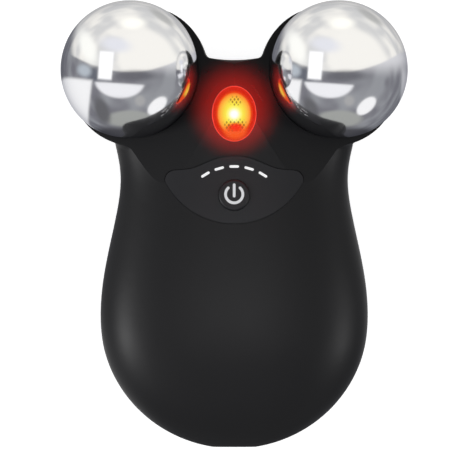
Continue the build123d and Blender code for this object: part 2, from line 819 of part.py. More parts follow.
with BuildPart() as indicator_leds:
    with BuildSketch(Plane.XY.offset(board_top_z)):
        with Locations(*dash_places()):
            Rectangle(small_led[0], small_led[1])
    extrude(amount=small_led[2])
indicator_leds.part.label = "indicator_leds"
export_step(indicator_leds.part, "parts/indicator_leds.step")

# ---- parts on the board's underside ----------------------------------------------------------
def chip(size, place):
    """A square-edged chip soldered under the board."""
    with BuildPart() as body_of_chip:
        with Locations((place[0], place[1], board_bottom_z)):
            Box(*size, align=(Align.CENTER, Align.CENTER, Align.MAX))
        chamfer(body_of_chip.edges().group_by(Axis.Z)[0], size[2] / 6)
    return body_of_chip.part


with BuildPart() as controller_chip:
    add(chip(controller_size, controller_place))
controller_chip.part.label = "controller_chip"
export_step(controller_chip.part, "parts/controller_chip.step")

with BuildPart() as charger_chip:
    add(chip(charger_size, charger_place))
charger_chip.part.label = "charger_chip"
export_step(charger_chip.part, "parts/charger_chip.step")

with BuildPart() as boost_inductor:
    with BuildSketch(Plane.XY.offset(board_bottom_z)):
        with Locations(inductor_place):
            RectangleRounded(inductor_size, inductor_size, inductor_size / 6)
    extrude(amount=-inductor_height)
boost_inductor.part.label = "boost_inductor"
export_step(boost_inductor.part, "parts/boost_inductor.step")

with BuildPart() as capacitors:
    with Locations(*[(capacitor_x, y, board_bottom_z) for y in capacitor_ys]):
        Box(*capacitor_size, align=(Align.CENTER, Align.CENTER, Align.MAX))
capacitors.part.label = "capacitors"
export_step(capacitors.part, "parts/capacitors.step")

# ---- charging port ----------------------------------------------------------------------------
port_face = Plane(origin=(0, usb_mouth_y, parting_z), x_dir=(1, 0, 0), z_dir=(0, -1, 0))
with BuildPart() as charging_port_shell:
    with BuildSketch(port_face):
        SlotOverall(usb_width, usb_height)
    extrude(amount=-usb_depth)
    with BuildSketch(port_face):
        SlotOverall(usb_width - 2 * usb_skin, usb_height - 2 * usb_skin)
    extrude(amount=-(usb_depth - usb_skin), mode=Mode.SUBTRACT)
charging_port_shell.part.label = "charging_port_shell"
export_step(charging_port_shell.part, "parts/charging_port_shell.step")

with BuildPart() as charging_port_tongue:
    with BuildSketch(port_face.offset(-(usb_depth - usb_skin))):
        SlotOverall(usb_width - 2 * usb_skin, usb_height - 2 * usb_skin)
    extrude(amount=usb_depth - usb_skin - usb_tongue_length - usb_lip)
    with BuildSketch(port_face.offset(-(usb_depth - usb_skin))):
        RectangleRounded(usb_tongue_width, usb_tongue_thickness, usb_tongue_thickness / 3)
    extrude(amount=usb_depth - usb_skin - usb_lip)
charging_port_tongue.part.label = "charging_port_tongue"
export_step(charging_port_tongue.part, "parts/charging_port_tongue.step")

# ---- battery, its pad, plug and leads -----------------------------------------------------------
with BuildPart() as battery_pad:
    with Locations((0, battery_y, wall)):
        Box(
            battery_width * pad_share, battery_length * pad_share, pad_thickness,
            align=(Align.CENTER, Align.CENTER, Align.MIN),
        )
battery_pad.part.label = "battery_pad"
export_step(battery_pad.part, "parts/battery_pad.step")

battery_mid_z = battery_bottom_z + battery_thickness / 2
with BuildPart() as battery:
    with BuildSketch(Plane.XZ.offset(-battery_end_y)):
        with Locations((0, battery_mid_z)):
            RectangleRounded(battery_width, battery_thickness, battery_thickness / 3)
    extrude(amount=battery_length)
battery.part.label = "battery"
export_step(battery.part, "parts/battery.step")

connector_y = battery_end_y + connector_gap + connector_size[1] / 2
connector_bottom_z = board_bottom_z - connector_size[2]
with BuildPart() as battery_plug:
    with Locations((connector_x, connector_y, board_bottom_z)):
        Box(*connector_size, align=(Align.CENTER, Align.CENTER, Align.MAX))
battery_plug.part.label = "battery_plug"
export_step(battery_plug.part, "parts/battery_plug.step")

for pole, word in ((-1, "red"), (1, "black")):
    lead_x = connector_x + pole * lead_pitch / 2
    with BuildPart() as battery_lead:
        with BuildLine() as lead_route:
            FilletPolyline(
                (lead_x, battery_end_y, battery_mid_z),
                (lead_x, connector_y, battery_mid_z),
                (lead_x, connector_y, connector_bottom_z),
                radius=lead_bend_share * (connector_y - battery_end_y),
            )
        with BuildSketch(Plane.XZ.offset(-battery_end_y)):
            with Locations((lead_x, battery_mid_z)):
                Circle(lead_diameter / 2)
        sweep(path=lead_route.wire())
    battery_lead.part.label = f"battery_lead_{word}"
    export_step(battery_lead.part, f"parts/battery_lead_{word}.step")

# ---- screws and plugs ------------------------------------------------------------------------------
def screw_drive(head_diameter, head_height, head_z):
    """The cross recess in a screw's head, opening downwards at head_z."""
    with BuildPart() as recess:
        for turn in (0, 90):
            with Locations(Location((0, 0, head_z), (0, 0, turn))):
                Box(
                    head_diameter * drive_share, drive_width, head_height * drive_share,
                    align=(Align.CENTER, Align.CENTER, Align.MIN),
                )
    return recess.part


with BuildPart() as one_case_screw:
    with Locations((0, 0, case_head_z)):
        Cylinder(
            case_screw_head / 2, case_screw_head_height,
            align=(Align.CENTER, Align.CENTER, Align.MAX),
        )
        Cylinder(
            case_screw_diameter / 2, post_floor + case_screw_bite,
            align=(Align.CENTER, Align.CENTER, Align.MIN),
        )
    add(
        screw_drive(
            case_screw_head, case_screw_head_height, case_head_z - case_screw_head_height
        ),
        mode=Mode.SUBTRACT,
    )
with BuildPart() as case_screws:
    with Locations(*case_screw_places):
        add(one_case_screw.part)
case_screws.part.label = "case_screws"
export_step(case_screws.part, "parts/case_screws.step")

with BuildPart() as one_board_screw:
    with Locations((0, 0, board_bottom_z)):
        Cylinder(
            board_screw_head / 2, board_screw_head_height,
            align=(Align.CENTER, Align.CENTER, Align.MAX),
        )
        Cylinder(
            board_screw_diameter / 2, board_thickness + board_screw_bite,
            align=(Align.CENTER, Align.CENTER, Align.MIN),
        )
    add(
        screw_drive(
            board_screw_head, board_screw_head_height, board_bottom_z - board_screw_head_height
        ),
        mode=Mode.SUBTRACT,
    )
with BuildPart() as board_screws:
    with Locations(*board_screw_places):
        add(one_board_screw.part)
board_screws.part.label = "board_screws"
export_step(board_screws.part, "parts/board_screws.step")

with BuildPart() as screw_plugs:
    with Locations(*case_screw_places):
        Cylinder(
            case_screw_head / 2 + head_fit, plug_thickness,
            align=(Align.CENTER, Align.CENTER, Align.MIN),
        )
    add(outer_form, mode=Mode.INTERSECT)
screw_plugs.part.label = "screw_plugs"
export_step(screw_plugs.part, "parts/screw_plugs.step")
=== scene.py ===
from math import cos, pi, radians, sin

import bmesh
import bpy
import numpy as np
from bpy.props import FloatProperty, PointerProperty, StringProperty
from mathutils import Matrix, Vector
from mathutils.bvhtree import BVHTree


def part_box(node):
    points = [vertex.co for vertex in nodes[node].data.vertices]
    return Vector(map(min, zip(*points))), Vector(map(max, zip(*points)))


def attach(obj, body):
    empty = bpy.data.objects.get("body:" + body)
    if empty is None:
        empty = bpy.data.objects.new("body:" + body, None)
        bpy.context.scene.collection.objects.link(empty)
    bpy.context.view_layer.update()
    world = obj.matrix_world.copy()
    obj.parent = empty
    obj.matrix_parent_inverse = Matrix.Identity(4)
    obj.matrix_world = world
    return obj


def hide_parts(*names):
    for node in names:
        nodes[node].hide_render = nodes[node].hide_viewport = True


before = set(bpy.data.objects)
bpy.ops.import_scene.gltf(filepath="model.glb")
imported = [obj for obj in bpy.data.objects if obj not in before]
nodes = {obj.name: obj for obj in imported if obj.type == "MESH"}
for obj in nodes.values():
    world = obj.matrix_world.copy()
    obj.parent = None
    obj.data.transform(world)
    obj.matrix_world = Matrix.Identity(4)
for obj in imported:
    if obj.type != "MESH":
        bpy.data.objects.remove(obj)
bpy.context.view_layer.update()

bl_info = {
    "name": "Facial Toning Device",
    "version": (1, 0, 0),
    "blender": (4, 5, 0),
    "location": "View3D > Sidebar > Toning Device",
    "description": "Finishes, lit window, chromed balls and studio for a facial toning device",
    "category": "Object",
}

MM = 0.001
HOUSING = "housing"


# ---- places read from the frame ------------------------------------------------------
window_low, window_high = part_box("window_lens")
window_centre = (window_low + window_high) / 2
lens_flange = 0.9 * MM      # hidden edge of the lens, under the shell all round the window
window_half = Vector((
    (window_high.x - window_low.x) / 2 - lens_flange,
    (window_high.y - window_low.y) / 2 - lens_flange,
))


# ---- small tools: colours, nodes, meshes -----------------------------------------------
def linear(hex_code):
    """An sRGB hex colour as a linear RGBA tuple: each channel undone by the sRGB curve."""
    channels = [int(hex_code[i:i + 2], 16) / 255 for i in (1, 3, 5)]
    return tuple(
        c / 12.92 if c <= 0.04045 else ((c + 0.055) / 1.055) ** 2.4 for c in channels
    ) + (1.0,)


def add_node(tree, kind, settings=None, inputs=None):
    """Adds a node. settings are its own properties; inputs maps a socket to a value or a link."""
    node = tree.nodes.new(kind)
    for name, value in (settings or {}).items():
        setattr(node, name, value)
    for socket, value in (inputs or {}).items():
        if isinstance(value, bpy.types.NodeSocket):
            tree.links.new(value, node.inputs[socket])
        else:
            node.inputs[socket].default_value = value
    return node


def new_material(name):
    """A material with an empty tree, its output and its object coordinates."""
    material = bpy.data.materials.new(name)
    material.use_nodes = True
    tree = material.node_tree
    tree.nodes.clear()
    output = add_node(tree, "ShaderNodeOutputMaterial")
    place = add_node(tree, "ShaderNodeTexCoord").outputs["Object"]
    return material, tree, output, place


def dress(name, material):
    """Gives a CAD node that keeps its shape a finished material."""
    data = nodes[name].data
    data.materials.clear()
    data.materials.append(material)
    for polygon in data.polygons:
        polygon.material_index = 0


def surface(name, points, material, body):
    """A mesh from a grid of points, rows by columns, whose last column joins the first.

    Rows that shrink to one point become poles when their doubles are merged."""
    crease_angle, same_place = 40.0, 1e-7
    rows, columns = points.shape[:2]
    row, column = np.meshgrid(np.arange(rows - 1), np.arange(columns), indexing="ij")
    following = (column + 1) % columns
    quads = np.stack(
        [
            row * columns + column,
            row * columns + following,
            (row + 1) * columns + following,
            (row + 1) * columns + column,
        ],
        axis=-1,
    ).reshape(-1, 4)
    mesh = bpy.data.meshes.new(name)
    mesh.from_pydata(points.reshape(-1, 3).tolist(), [], quads.tolist())
    form = bmesh.new()
    form.from_mesh(mesh)
    bmesh.ops.remove_doubles(form, verts=form.verts, dist=same_place)
    bmesh.ops.recalc_face_normals(form, faces=form.faces)
    form.to_mesh(mesh)
    form.free()
    mesh.shade_smooth()
    mesh.set_sharp_from_angle(angle=radians(crease_angle))
    mesh.materials.append(material)
    piece = bpy.data.objects.new(name, mesh)
    bpy.context.scene.collection.objects.link(piece)
    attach(piece, body)
    return piece


def height_over(node):
    """A function of x and y that gives the highest point of a node's surface there."""
    data = nodes[node].data
    tree = BVHTree.FromPolygons(
        [v.co for v in data.vertices], [tuple(p.vertices) for p in data.polygons]
    )

    def height(x, y):
        hit = tree.ray_cast(Vector((x, y, 1.0)), Vector((0, 0, -1)))[0]
        return hit.z if hit is not None else None

    return height


# ---- steps that the finishes and the studio share -----------------------------------------
def noise(tree, place, size, detail=2.0, roughness=0.5):
    """Noise whose lumps have a given size."""
    return add_node(tree, "ShaderNodeTexNoise", inputs={
        "Vector": place, "Scale": 1 / size, "Detail": detail, "Roughness": roughness,
    }).outputs["Fac"]


def between(tree, value, low, high, reach=(0.3, 0.7)):
    """Noise that runs from low to high as it goes through its usual reach."""
    return add_node(tree, "ShaderNodeMapRange", inputs={
        "Value": value, "From Min": reach[0], "From Max": reach[1],
        "To Min": low, "To Max": high,
    }).outputs["Result"]


def relief(tree, height, strength, depth=0.02 * MM):
    """The normal of a surface with a fine relief."""
    return add_node(tree, "ShaderNodeBump", inputs={
        "Height": height, "Strength": strength, "Distance": depth,
    }).outputs["Normal"]


def finish(tree, output, inputs):
    """Ends a material's tree in its one shader."""
    shader = add_node(tree, "ShaderNodeBsdfPrincipled", inputs=inputs)
    tree.links.new(shader.outputs["BSDF"], output.inputs["Surface"])


def laid_on(tree, under, mask, colour):
    """under, with a colour laid on it where mask is 1."""
    return add_node(tree, "ShaderNodeMix", {"data_type": "RGBA"}, {
        "Factor": mask, 6: under, 7: colour,
    }).outputs[2]


def local_place(tree, vector, place, half, turn):
    """A flat vector measured from place, in half-sizes, along axes turned by an angle."""
    flat = 1000.0       # squeezes the third axis to nothing
    return add_node(tree, "ShaderNodeMapping", {"vector_type": "TEXTURE"}, {
        "Vector": vector, "Location": (*place, 0.0), "Rotation": (0.0, 0.0, radians(turn)),
        "Scale": (*half, flat),
    }).outputs["Vector"]


def soft_edge(tree, away, softness):
    """Mask that falls from 1 to 0 as a distance passes 1."""
    return add_node(tree, "ShaderNodeMapRange", {"interpolation_type": "SMOOTHSTEP"}, {
        "Value": away, "From Min": 1.0 - softness, "From Max": 1.0 + softness,
        "To Min": 1.0, "To Max": 0.0,
    }).outputs["Result"]


def oval(tree, vector, place, half, turn, softness):
    """Mask of a round or oval patch."""
    away = add_node(tree, "ShaderNodeVectorMath", {"operation": "LENGTH"}, {
        0: local_place(tree, vector, place, half, turn),
    })
    return soft_edge(tree, away.outputs["Value"], softness)


# ---- finishes ---------------------------------------------------------------------------
def soft_touch_paint(colour):
    """Soft-touch polyurethane paint on moulded ABS: satin black, a fine grain, faint unevenness."""
    material, tree, output, place = new_material("soft_touch_polyurethane_on_abs")
    grain_size = 0.35 * MM      # the paint's grain, drawn coarser than the real 0.05 mm
    cloud_size = 14 * MM
    finish(tree, output, {
        "Base Color": linear(colour),
        "Roughness": between(tree, noise(tree, place, cloud_size), 0.4, 0.45),
        "Specular IOR Level": 0.06, "Sheen Weight": 0.01, "Sheen Roughness": 0.5,
        "Normal": relief(tree, noise(tree, place, grain_size, 3.0, 0.6), 0.06),
    })
    return material


def polished_chrome(colour):
    """Chrome plate on a polished shell: mirror-like, a little darker at its grazing edge."""
    material, tree, output, place = new_material("polished_chrome_plate")
    swirl_size = 2.5 * MM
    finish(tree, output, {
        "Base Color": linear(colour), "Metallic": 1.0, "Specular Tint": linear("#c4c5ca"),
        "Roughness": between(tree, noise(tree, place, swirl_size, 4.0), 0.09, 0.12),
    })
    return material


def moulded_plastic(name, colour, roughness, grain_size, specular=0.5):
    """Moulded plastic or rubber with the fine spark-eroded grain of its tool."""
    material, tree, output, place = new_material(name)
    grain = noise(tree, place, grain_size)
    finish(tree, output, {
        "Base Color": linear(colour), "Specular IOR Level": specular,
        "Roughness": between(tree, grain, roughness - 0.03, roughness + 0.03),
        "Normal": relief(tree, grain, 0.05),
    })
    return material


def worked_metal(name, colour, roughness, line_size):
    """Turned, drawn or stamped metal: fine lines left by the tool."""
    material, tree, output, place = new_material(name)
    lines = noise(tree, place, line_size, 3.0)
    finish(tree, output, {
        "Base Color": linear(colour), "Metallic": 1.0,
        "Roughness": between(tree, lines, roughness * 0.8, roughness * 1.2),
    })
    return material


def lit_plastic(name, colour, glow):
    """White or coloured plastic with emission, a little brighter than its own paint: the own light
    of the LED packages, a painted glow on the parts that are no lamp.
    """
    material, tree, output, place = new_material(name)
    mottle_size = 0.5 * MM
    finish(tree, output, {
        "Base Color": linear(colour), "Emission Color": linear(colour), "Emission Strength": glow,
        "Roughness": between(tree, noise(tree, place, mottle_size), 0.3, 0.4),
    })
    return material


def clear_polycarbonate():
    """Clear polycarbonate: smooth, with the faint orange peel of a moulded lens."""
    material, tree, output, place = new_material("clear_polycarbonate")
    peel_size, peel_depth = 1.5 * MM, 0.05 * MM
    index = 1.12        # under the real 1.58, so that reflections don't hide the bowl
    finish(tree, output, {
        "Base Color": (1, 1, 1, 1), "Roughness": 0.02, "IOR": index, "Transmission Weight": 1.0,
        "Normal": relief(tree, noise(tree, place, peel_size, 1.0), 0.02, peel_depth),
    })
    return material


def painted_glow_reflector():
    """The bowl's painted glow: emission painted white-hot at the lamp, yellow, orange and red
    outwards, for the lamp's light on it; dots moulded in it.
    """
    material, tree, output, place = new_material("patterned_reflector_painted_glow")
    centred = add_node(tree, "ShaderNodeMapping", {"vector_type": "TEXTURE"}, {
        "Vector": place, "Location": (window_centre.x, window_centre.y, 0.0),
        "Scale": (window_half.x, window_half.y, 1.0),
    })
    flat = add_node(tree, "ShaderNodeVectorMath", {"operation": "MULTIPLY"}, {
        0: centred.outputs["Vector"], 1: (1.0, 1.0, 0.0),
    })
    reach = add_node(tree, "ShaderNodeVectorMath", {"operation": "LENGTH"}, {
        0: flat.outputs["Vector"],
    })
    # painted glow: emission colours from the white-hot core at the lamp out to red at the rim
    ramp = add_node(tree, "ShaderNodeValToRGB", inputs={"Fac": reach.outputs["Value"]})
    stops = (
        (0.0, "#fff46a"), (0.3, "#fdf04e"), (0.46, "#f9da48"), (0.6, "#fbb83c"),
        (0.7, "#f88a26"), (0.78, "#e43c06"), (0.86, "#d41a02"), (0.97, "#d82010"),
    )
    elements = ramp.color_ramp.elements
    while len(elements) < len(stops):
        elements.new(0.5)
    for element, (position, colour) in zip(elements, stops):
        element.position = position
        element.color = linear(colour)

    def painted(under, place, half, softness, hex_code):
        """under, with an oval patch laid on it, its place and size in the window's half-sizes."""
        patch = oval(tree, flat.outputs["Vector"], place, half, 0, softness)
        return laid_on(tree, under, patch, linear(hex_code))

    # dots in staggered rows, in two patches clear of the core
    dot_pitch, row_turn, row_squeeze = 0.58 * MM, 45, 0.68
    rows = add_node(tree, "ShaderNodeMapping", inputs={
        "Vector": place, "Rotation": (0.0, 0.0, radians(row_turn)),
        "Scale": (1.0, row_squeeze, 1.0),
    })
    dots = add_node(tree, "ShaderNodeTexVoronoi", {"voronoi_dimensions": "2D"}, {
        "Vector": rows.outputs["Vector"], "Scale": 1 / dot_pitch, "Randomness": 0.15,
    })
    dot = add_node(tree, "ShaderNodeMapRange", {"interpolation_type": "SMOOTHSTEP"}, {
        "Value": dots.outputs["Distance"], "From Min": 0.2, "From Max": 0.42,
        "To Min": 0.8, "To Max": 0.0,
    })
    upper = oval(tree, flat.outputs["Vector"], (0.06, 0.47), (0.27, 0.17), 0, 0.3)
    lower = oval(tree, flat.outputs["Vector"], (0.04, -0.4), (0.5, 0.24), 0, 0.3)
    zones = add_node(tree, "ShaderNodeMath", {"operation": "MAXIMUM"}, {0: upper, 1: lower})
    shown = add_node(tree, "ShaderNodeMath", {"operation": "MULTIPLY"}, {
        0: dot.outputs["Result"], 1: zones.outputs["Value"],
    })
    # painted glow patches in the emission: orange and red low in the bowl, pale yellow and white at
    # its core
    glow = painted(ramp.outputs["Color"], (0.05, -0.62), (0.5, 0.3), 0.35, "#f4581c")
    glow = laid_on(tree, glow, shown.outputs["Value"], linear("#7a3a08"))
    glow = painted(glow, (0.08, -0.5), (0.26, 0.13), 0.6, "#f62c12")
    glow = painted(glow, (0.0, -0.01), (0.31, 0.25), 0.35, "#fffa9c")
    glow = painted(glow, (0.0, -0.01), (0.19, 0.15), 0.5, "#ffffff")
    finish(tree, output, {
        "Base Color": linear("#100302"), "Roughness": 0.4, "Specular IOR Level": 0.1,
        "Emission Color": glow, "Emission Strength": 1.0,
    })
    return material


def glass_fibre_board():
    """Green solder mask on glass-fibre board: satin, with the weave faintly through it."""
    material, tree, output, place = new_material("solder_mask_on_glass_fibre")
    weave_size = 6 * MM
    weave = add_node(tree, "ShaderNodeTexWave", {"wave_type": "BANDS"}, {
        "Vector": place, "Scale": 1 / weave_size, "Distortion": 0.4, "Detail": 1.0,
    })
    mask = laid_on(tree, linear("#0d4a26"), weave.outputs["Fac"], linear("#12572e"))
    finish(tree, output, {"Base Color": mask, "Roughness": 0.35})
    return material


# ---- sizes and colours that a user may change --------------------------------------------
class ToningDeviceSettings(bpy.types.PropertyGroup):
    shell_colour: StringProperty(
        name="Shell Colour", description="Soft-touch paint, as sRGB hex", default="#131314"
    )
    panel_colour: StringProperty(
        name="Panel Colour", description="Inlay and button, as sRGB hex", default="#161618"
    )
    ball_colour: StringProperty(
        name="Ball Colour", description="Chrome plate seen straight on, as sRGB hex",
        default="#f4f4f6",
    )
    rim_width: FloatProperty(
        name="Window Rim", description="Width of the lit edge round the light window",
        default=0.14 * MM, min=0.05 * MM, max=1 * MM, subtype="DISTANCE", unit="LENGTH",
        precision=5,
    )
    glow_power: FloatProperty(
        name="Glow Power", description="Red light that the window throws on its surroundings",
        default=0.045, min=0.0, unit="POWER", precision=4,
    )
    studio_light: FloatProperty(
        name="Studio Light", description="Strength of the studio round the part",
        default=1.0, min=0.0, max=4.0,
    )


class TONING_OT_housing(bpy.types.Operator):
    """Finish the front and rear shells"""

    bl_idname = "toning.housing"
    bl_label = "Housing"

    def execute(self, context):
        settings = context.scene.toning_device
        paint = soft_touch_paint(settings.shell_colour)
        dress("front_shell", paint)
        dress("rear_shell", paint)
        return {"FINISHED"}


class TONING_OT_balls(bpy.types.Operator):
    """Make the two chromed electrode balls and finish their gaskets"""

    bl_idname = "toning.balls"
    bl_label = "Electrode Balls"

    def execute(self, context):
        rings, segments = 160, 320
        chrome = polished_chrome(context.scene.toning_device.ball_colour)
        rubber = moulded_plastic("silicone_gasket", "#1a1a1a", 0.6, 0.5 * MM)
        for word in ("left", "right"):
            node = f"electrode_ball_{word}"
            low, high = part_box(node)
            centre, radius = (low + high) / 2, (high.x - low.x) / 2
            # polar angle down the rows, longitude along the columns
            polar = np.linspace(0, pi, rings + 1)[:, None]
            longitude = np.linspace(0, 2 * pi, segments, endpoint=False)[None, :]
            points = np.stack(
                [
                    centre.x + radius * np.sin(polar) * np.cos(longitude),
                    centre.y + radius * np.sin(polar) * np.sin(longitude),
                    centre.z + radius * np.cos(polar) + 0 * longitude,
                ],
                axis=-1,
            )
            ball = surface(f"chromed_ball_{word}", points, chrome, HOUSING)
            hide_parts(node)
            dress(f"ball_gasket_{word}", rubber)
        return {"FINISHED"}


class TONING_OT_panel(bpy.types.Operator):
    """Finish the control panel, button, power symbol and light bars"""

    bl_idname = "toning.panel"
    bl_label = "Control Panel"

    def execute(self, context):
        settings = context.scene.toning_device
        dress("control_panel", moulded_plastic(
            "satin_abs_inlay", settings.panel_colour, 0.43, 0.4 * MM, specular=0.1
        ))
        dress("power_button_cap", moulded_plastic(
            "satin_abs_button", settings.panel_colour, 0.42, 0.4 * MM, specular=0.1
        ))
        # the power symbol and the light bars get a faint painted glow
        dress("power_symbol", lit_plastic("white_two_shot_symbol", "#d8d8da", 0.08))
        dress("indicator_light_guide", lit_plastic("lit_white_light_guide", "#f0f0f0", 0.25))
        return {"FINISHED"}


class TONING_OT_window(bpy.types.Operator):
    """Make the lit window: clear lens, an edge and a patterned bowl with painted glow, and lamps"""

    bl_idname = "toning.window"
    bl_label = "Light Window"

    def execute(self, context):
        settings = context.scene.toning_device
        dress("window_lens", clear_polycarbonate())
        dress("window_lamps", lit_plastic("lit_lamp_package", "#ffe9a0", 1.0))
        # the reflector and the bowl carry a painted glow in place of the lamp's light on them
        glow = painted_glow_reflector()
        dress("window_reflector", glow)

        # the bowl: an oval whose depth grows towards its middle as a flat-bottomed curve
        lens_gap, depth = 0.02 * MM, 2.6 * MM
        bowl_half = 0.99 * window_half
        wall_share, wall_power = 0.74, 4
        steps_out, steps_round = 60, 180
        top = window_low.z - lens_gap
        share = np.linspace(0, 1, steps_out)[:, None]
        turn = np.linspace(0, 2 * pi, steps_round, endpoint=False)[None, :]
        bowl = np.stack(
            [
                window_centre.x + bowl_half.x * share * np.cos(turn),
                window_centre.y + bowl_half.y * share * np.sin(turn),
                top - depth * (1 - np.clip(share / wall_share, 0, 1) ** wall_power) + 0 * turn,
            ],
            axis=-1,
        )
        surface("bowl_with_painted_glow", bowl, glow, HOUSING)

        # the bright edge: a round bead with a painted red glow, carried along the window's oval
        over_lens = height_over("window_lens")
        inside = 0.97       # where the lens's height is taken, as a share of the oval
        sunk = 0.6          # of the bead's radius
        steps_along, steps_across = 240, 12
        angles = np.linspace(0, 2 * pi, steps_along, endpoint=False)
        heights = np.array([
            over_lens(
                window_centre.x + inside * window_half.x * cos(a),
                window_centre.y + inside * window_half.y * sin(a),
            )
            for a in angles
        ])
        bead = settings.rim_width / 2
        around = np.linspace(0, 2 * pi, steps_across, endpoint=False)[None, :]
        grown_x = window_half.x - bead + bead * np.cos(around)
        grown_y = window_half.y - bead + bead * np.cos(around)
        ring = np.stack(
            [
                window_centre.x + grown_x * np.cos(angles)[:, None],
                window_centre.y + grown_y * np.sin(angles)[:, None],
                heights[:, None] + bead * (np.sin(around) - sunk),
            ],
            axis=-1,
        )
        ring = np.concatenate([ring, ring[:1]])
        # painted glow on the bead: red emission standing in for the light the lens edge carries
        edge = lit_plastic("lens_edge_painted_glow", "#ea4a3c", 0.45)
        surface("lens_edge", ring, edge, HOUSING)
        return {"FINISHED"}


class TONING_OT_hardware(bpy.types.Operator):
    """Finish the charging port, screws, plugs and everything inside"""

    bl_idname = "toning.hardware"
    bl_label = "Port, Fasteners and Inside"

    def execute(self, context):
        steel = worked_metal("stainless_steel", "#b9babd", 0.28, 0.3 * MM)
        brass = worked_metal("tinned_brass", "#c9b078", 0.3, 0.3 * MM)
        finishes = {
            "charging_port_shell": worked_metal("nickel_plated_steel", "#c2c3c6", 0.22, 0.3 * MM),
            "charging_port_tongue": moulded_plastic("black_lcp", "#141416", 0.45, 0.3 * MM),
            "case_screws": steel,
            "board_screws": steel,
            "screw_plugs": moulded_plastic("black_tpe_plug", "#1e1e20", 0.62, 0.4 * MM),
            "main_board": glass_fibre_board(),
            "switch_base": moulded_plastic("switch_nylon", "#19191b", 0.5, 0.3 * MM),
            "switch_plunger": moulded_plastic("switch_stem_nylon", "#232326", 0.45, 0.3 * MM),
            "switch_cover": steel,
            "switch_dome": steel,
            "indicator_leds": lit_plastic("led_package", "#fff6dc", 0.8),
            "controller_chip": moulded_plastic("moulded_epoxy", "#151516", 0.55, 0.2 * MM),
            "charger_chip": moulded_plastic("moulded_epoxy_small", "#171718", 0.55, 0.2 * MM),
            "boost_inductor": moulded_plastic("pressed_ferrite", "#3a3a3c", 0.7, 0.3 * MM),
            "capacitors": moulded_plastic("fired_ceramic", "#a98a68", 0.4, 0.3 * MM),
            "battery_pad": moulded_plastic("foam_tape", "#2c2c2e", 0.9, 0.6 * MM),
            "battery": worked_metal("laminated_foil", "#c4c6ca", 0.35, 0.8 * MM),
            "battery_plug": moulded_plastic("connector_nylon", "#e6e2d6", 0.5, 0.3 * MM),
            "battery_lead_red": moulded_plastic("red_pvc", "#a81414", 0.4, 0.3 * MM),
            "battery_lead_black": moulded_plastic("black_pvc", "#161616", 0.4, 0.3 * MM),
        }
        for word in ("left", "right"):
            finishes[f"electrode_stud_{word}"] = steel
            finishes[f"electrode_nut_{word}"] = brass
            finishes[f"solder_lug_{word}"] = brass
            finishes[f"electrode_lead_{word}"] = finishes["battery_lead_red"]
        for node, material in finishes.items():
            dress(node, material)
        return {"FINISHED"}


